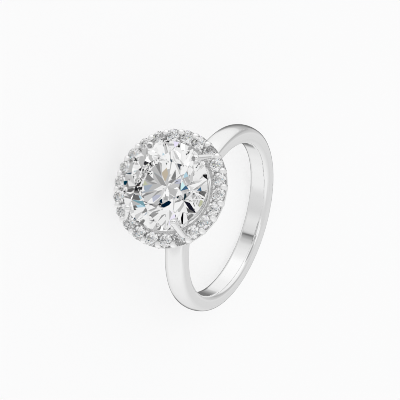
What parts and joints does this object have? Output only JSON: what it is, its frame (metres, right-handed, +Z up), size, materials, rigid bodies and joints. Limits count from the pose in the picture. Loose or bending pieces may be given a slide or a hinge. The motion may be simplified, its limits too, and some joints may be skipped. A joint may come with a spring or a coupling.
{
  "type": "halo ring",
  "caption": "Finger ring lying on its side: plain rounded band, raised round faceted stone in claws, and a halo of small round faceted stones under its girdle.",
  "frame": {"origin": "on the plane that the ring lies on, under the middle of its outline", "axes": "+Z up from that plane, +Y from the stone towards the far side of the band, +X across the finger hole"},
  "size_m": [0.02, 0.0266, 0.0119],
  "materials": {
    "white_metal": "polished white gold",
    "centre_stone": "clear colourless stone, polished facets",
    "halo_stone": "clear colourless stone, polished facets"
  },
  "bodies": {
    "root": {"band_and_setting": "white_metal", "centre_stone": "centre_stone", "halo_stone_01": "halo_stone", "halo_stone_02": "halo_stone", "halo_stone_03": "halo_stone", "halo_stone_04": "halo_stone", "halo_stone_05": "halo_stone", "halo_stone_06": "halo_stone", "halo_stone_07": "halo_stone", "halo_stone_08": "halo_stone", "halo_stone_09": "halo_stone", "halo_stone_10": "halo_stone", "halo_stone_11": "halo_stone", "halo_stone_12": "halo_stone", "halo_stone_13": "halo_stone", "halo_stone_14": "halo_stone", "halo_stone_15": "halo_stone", "halo_stone_16": "halo_stone", "halo_stone_17": "halo_stone", "halo_stone_18": "halo_stone", "halo_stone_19": "halo_stone", "halo_stone_20": "halo_stone", "halo_stone_21": "halo_stone", "halo_stone_22": "halo_stone"}
  },
  "joints": []
}
